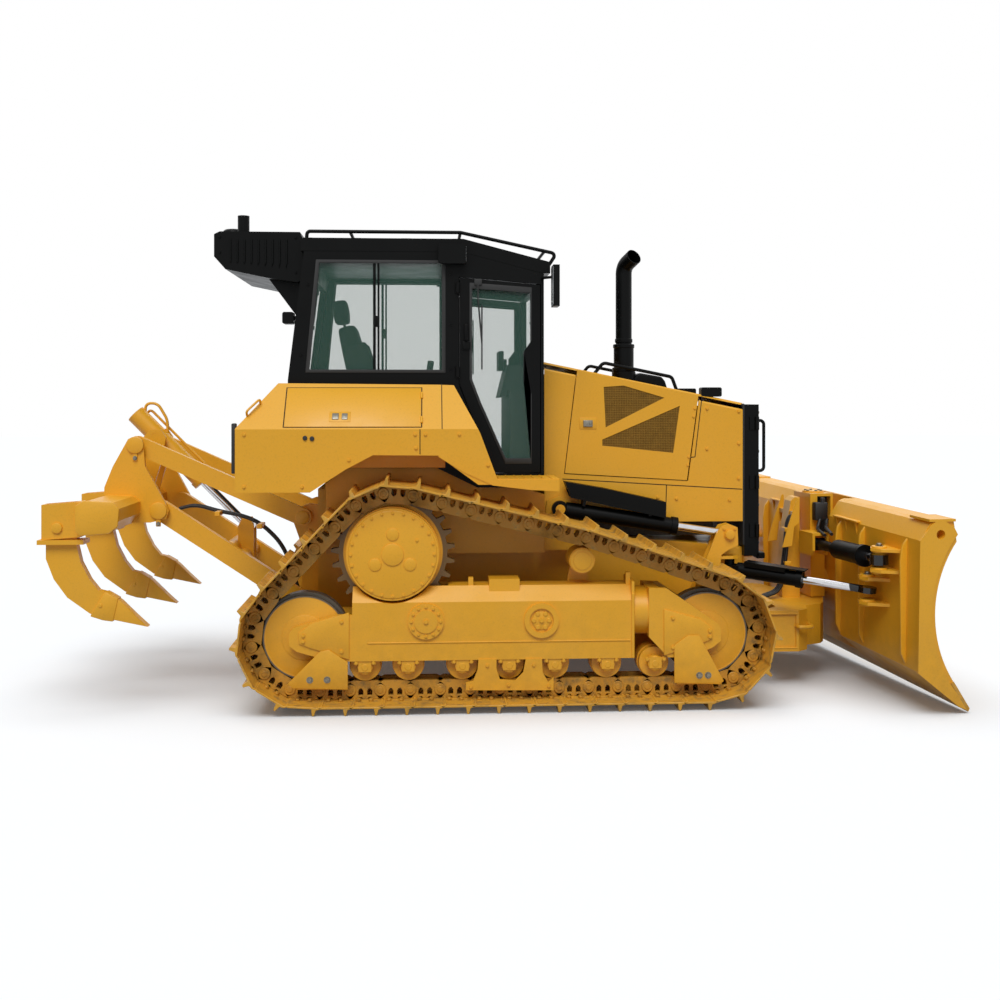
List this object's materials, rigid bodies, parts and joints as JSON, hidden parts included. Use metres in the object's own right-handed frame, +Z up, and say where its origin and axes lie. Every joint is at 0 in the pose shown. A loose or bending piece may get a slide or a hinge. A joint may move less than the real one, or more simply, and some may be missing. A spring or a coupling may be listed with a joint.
{
  "type": "bulldozer",
  "caption": "Crawler bulldozer with raised drive sprockets, six-way blade on an inside push frame, parallelogram ripper and enclosed cab; blade, ripper and doors move.",
  "frame": {"origin": "on the ground, midway between the tracks and midway between the front and rear idler axles", "axes": "+X forward, towards the blade; +Y to the machine's left; +Z up"},
  "size_m": [6.2425, 3.3251, 3.42],
  "materials": {
    "yellow_paint": "semi-gloss enamel, dusty",
    "black_paint": "satin black",
    "track_steel": "worn bare steel, earth in the corners",
    "cutting_steel": "ground by use",
    "chrome_rod": "hard chrome",
    "tinted_glass": "tinted safety glass",
    "seat_cloth": "woven cloth",
    "cab_plastic": "grained",
    "engine_iron": "painted casting, dusty"
  },
  "bodies": {
    "chassis": {"main_frame": "yellow_paint", "engine_block": "engine_iron", "hood": "yellow_paint", "radiator_guard": "black_paint", "exhaust_stack": "black_paint", "hood_rails": "black_paint", "cab_shell": "black_paint", "cab_glass": "tinted_glass", "cab_roof": "black_paint", "roof_rail": "black_paint", "roof_cooling_box": "black_paint", "mirrors": "black_paint", "work_lamps": "black_paint", "seat": "seat_cloth", "console": "cab_plastic", "track_right": "track_steel", "sprocket_right": "yellow_paint", "idlers_right": "track_steel", "track_rollers_right": "yellow_paint", "track_frame_right": "yellow_paint", "side_tank_right": "yellow_paint", "track_left": "track_steel", "sprocket_left": "yellow_paint", "idlers_left": "track_steel", "track_rollers_left": "yellow_paint", "track_frame_left": "yellow_paint", "side_tank_left": "yellow_paint"},
    "push_frame": {"push_frame": "yellow_paint"},
    "yoke": {"blade_yoke": "yellow_paint"},
    "blade": {"moldboard": "yellow_paint", "cutting_edge": "cutting_steel"},
    "lift_barrel_right": {"lift_barrel_right": "black_paint"},
    "lift_rod_right": {"lift_rod_right": "chrome_rod"},
    "angle_trunnion_right": {"angle_trunnion_right": "black_paint"},
    "angle_barrel_right": {"angle_barrel_right": "black_paint"},
    "angle_rod_right": {"angle_rod_right": "chrome_rod"},
    "lift_barrel_left": {"lift_barrel_left": "black_paint"},
    "lift_rod_left": {"lift_rod_left": "chrome_rod"},
    "angle_trunnion_left": {"angle_trunnion_left": "black_paint"},
    "angle_barrel_left": {"angle_barrel_left": "black_paint"},
    "angle_rod_left": {"angle_rod_left": "chrome_rod"},
    "tilt_barrel": {"tilt_barrel": "black_paint"},
    "tilt_rod": {"tilt_rod": "chrome_rod"},
    "ripper_lower": {"ripper_lower_links": "yellow_paint"},
    "ripper_upper": {"ripper_upper_links": "yellow_paint"},
    "ripper_carriage": {"ripper_carriage": "yellow_paint", "ripper_shanks": "yellow_paint"},
    "ripper_barrel": {"ripper_barrel": "yellow_paint"},
    "ripper_rod": {"ripper_rod": "chrome_rod"},
    "cab_door_right": {"cab_door_right": "black_paint", "door_glass_right": "tinted_glass"},
    "engine_door_right": {"engine_door_right": "yellow_paint"},
    "cab_door_left": {"cab_door_left": "black_paint", "door_glass_left": "tinted_glass"},
    "engine_door_left": {"engine_door_left": "yellow_paint"}
  },
  "joints": [
    {"name": "frame_lift", "type": "hinge", "parent": "chassis", "child": "push_frame", "pos_m": [0.9, 0, 0.46], "axis": [0, -1, 0], "range_deg": [-13, 20]},
    {"name": "lift_barrel_swing_right", "type": "hinge", "parent": "chassis", "child": "lift_barrel_right", "pos_m": [0.42, -0.62, 1.287], "axis": [0, -1, 0], "range_deg": [-7.19, 10.9]},
    {"name": "lift_rod_slide_right", "type": "slide", "parent": "lift_barrel_right", "child": "lift_rod_right", "axis": [0.9886, 0, -0.1507], "range_m": [-0.269, 0.176]},
    {"name": "lift_barrel_swing_left", "type": "hinge", "parent": "chassis", "child": "lift_barrel_left", "pos_m": [0.42, 0.62, 1.287], "axis": [0, -1, 0], "range_deg": [-7.19, 10.9]},
    {"name": "lift_rod_slide_left", "type": "slide", "parent": "lift_barrel_left", "child": "lift_rod_left", "axis": [0.9886, 0, -0.1507], "range_m": [-0.269, 0.176]},
    {"name": "blade_yaw", "type": "hinge", "parent": "push_frame", "child": "yoke", "pos_m": [2.5, 0, 0.66], "axis": [0, 0, 1], "range_deg": [-20, 6]},
    {"name": "blade_tilt", "type": "hinge", "parent": "yoke", "child": "blade", "pos_m": [2.5, 0, 0.66], "axis": [0.9925, 0.1219, 0], "range_deg": [-8.2, 4.8]},
    {"name": "angle_trunnion_turn_right", "type": "hinge", "parent": "push_frame", "child": "angle_trunnion_right", "pos_m": [1.68, -0.6, 0.84], "axis": [0, 0, 1], "range_deg": [-12.8, 4.05]},
    {"name": "angle_barrel_pitch_right", "type": "hinge", "parent": "angle_trunnion_right", "child": "angle_barrel_right", "pos_m": [1.68, -0.6, 0.84], "axis": [-0.5094, -0.8606, 0], "range_deg": [-5.82, 9.73]},
    {"name": "angle_rod_slide_right", "type": "slide", "parent": "angle_barrel_right", "child": "angle_rod_right", "axis": [0.8573, -0.5075, -0.0863], "range_m": [-0.337, 0.104]},
    {"name": "angle_trunnion_turn_left", "type": "hinge", "parent": "push_frame", "child": "angle_trunnion_left", "pos_m": [1.68, 0.6, 0.84], "axis": [0, 0, 1], "range_deg": [-12.6, 3.99]},
    {"name": "angle_barrel_pitch_left", "type": "hinge", "parent": "angle_trunnion_left", "child": "angle_barrel_left", "pos_m": [1.68, 0.6, 0.84], "axis": [0.6276, -0.7786, 0], "range_deg": [-9.73, 5.82]},
    {"name": "angle_rod_slide_left", "type": "slide", "parent": "angle_barrel_left", "child": "angle_rod_left", "axis": [0.7783, 0.6273, -0.0275], "range_m": [-0.103, 0.336]},
    {"name": "tilt_barrel_swing", "type": "hinge", "parent": "yoke", "child": "tilt_barrel", "pos_m": [2.42815, -0.35843, 0.985], "axis": [0.9925, 0.1219, 0], "range_deg": [-11.62, 6.92]},
    {"name": "tilt_rod_slide", "type": "slide", "parent": "tilt_barrel", "child": "tilt_rod", "axis": [0.1219, -0.9925, 0.0054], "range_m": [-0.049, 0.03]},
    {"name": "ripper_lift", "type": "hinge", "parent": "chassis", "child": "ripper_lower", "pos_m": [-1.445, 0, 0.575], "axis": [0, -1, 0], "range_deg": [0, 40]},
    {"name": "ripper_upper_swing", "type": "hinge", "parent": "chassis", "child": "ripper_upper", "pos_m": [-1.466, 0, 1.217], "axis": [0, -1, 0], "range_deg": [0, 36.3]},
    {"name": "ripper_carriage_turn", "type": "hinge", "parent": "ripper_lower", "child": "ripper_carriage", "pos_m": [-2.502, 0, 1.276], "axis": [0, -1, 0], "range_deg": [-55.1, 0]},
    {"name": "ripper_barrel_swing", "type": "hinge", "parent": "ripper_carriage", "child": "ripper_barrel", "pos_m": [-2.6, 0, 1.8], "axis": [0, -1, 0], "range_deg": [0, 30.7]},
    {"name": "ripper_rod_slide", "type": "slide", "parent": "ripper_barrel", "child": "ripper_rod", "axis": [0.7003, 0, -0.7139], "range_m": [-0.364, 0]},
    {"name": "cab_door_swing_right", "type": "hinge", "parent": "chassis", "child": "cab_door_right", "pos_m": [-0.33, -0.8, 2.2], "axis": [0, 0, -1], "range_deg": [0, 50]},
    {"name": "cab_door_swing_left", "type": "hinge", "parent": "chassis", "child": "cab_door_left", "pos_m": [-0.33, 0.8, 2.2], "axis": [0, 0, 1], "range_deg": [0, 50]},
    {"name": "engine_door_swing_right", "type": "hinge", "parent": "chassis", "child": "engine_door_right", "pos_m": [1.4315, -0.52, 1.8025], "axis": [0.1341, 0, 0.991], "range_deg": [0, 75]},
    {"name": "engine_door_swing_left", "type": "hinge", "parent": "chassis", "child": "engine_door_left", "pos_m": [1.4315, 0.52, 1.8025], "axis": [-0.1341, 0, -0.991], "range_deg": [0, 75]}
  ],
  "couplings": [
    {"joint": "lift_barrel_swing_right", "follows": "frame_lift", "ratio": 0.53},
    {"joint": "lift_rod_slide_right", "follows": "frame_lift", "m_per_rad": -0.76},
    {"joint": "lift_barrel_swing_left", "follows": "frame_lift", "ratio": 0.53},
    {"joint": "lift_rod_slide_left", "follows": "frame_lift", "m_per_rad": -0.76},
    {"joint": "angle_trunnion_turn_right", "follows": "blade_yaw", "ratio": 0.625},
    {"joint": "angle_barrel_pitch_right", "follows": "blade_tilt", "ratio": -1.15},
    {"joint": "angle_rod_slide_right", "follows": "blade_yaw", "m_per_rad": 0.955},
    {"joint": "angle_trunnion_turn_left", "follows": "blade_yaw", "ratio": 0.615},
    {"joint": "angle_barrel_pitch_left", "follows": "blade_tilt", "ratio": 1.15},
    {"joint": "angle_rod_slide_left", "follows": "blade_yaw", "m_per_rad": -0.95},
    {"joint": "tilt_barrel_swing", "follows": "blade_tilt", "ratio": 1.38},
    {"joint": "tilt_rod_slide", "follows": "blade_tilt", "m_per_rad": 0.315},
    {"joint": "ripper_upper_swing", "follows": "ripper_lift", "ratio": 0.9},
    {"joint": "ripper_carriage_turn", "follows": "ripper_lift", "ratio": -1.37},
    {"joint": "ripper_barrel_swing", "follows": "ripper_lift", "ratio": 0.76},
    {"joint": "ripper_rod_slide", "follows": "ripper_lift", "m_per_rad": -0.515}
  ]
}
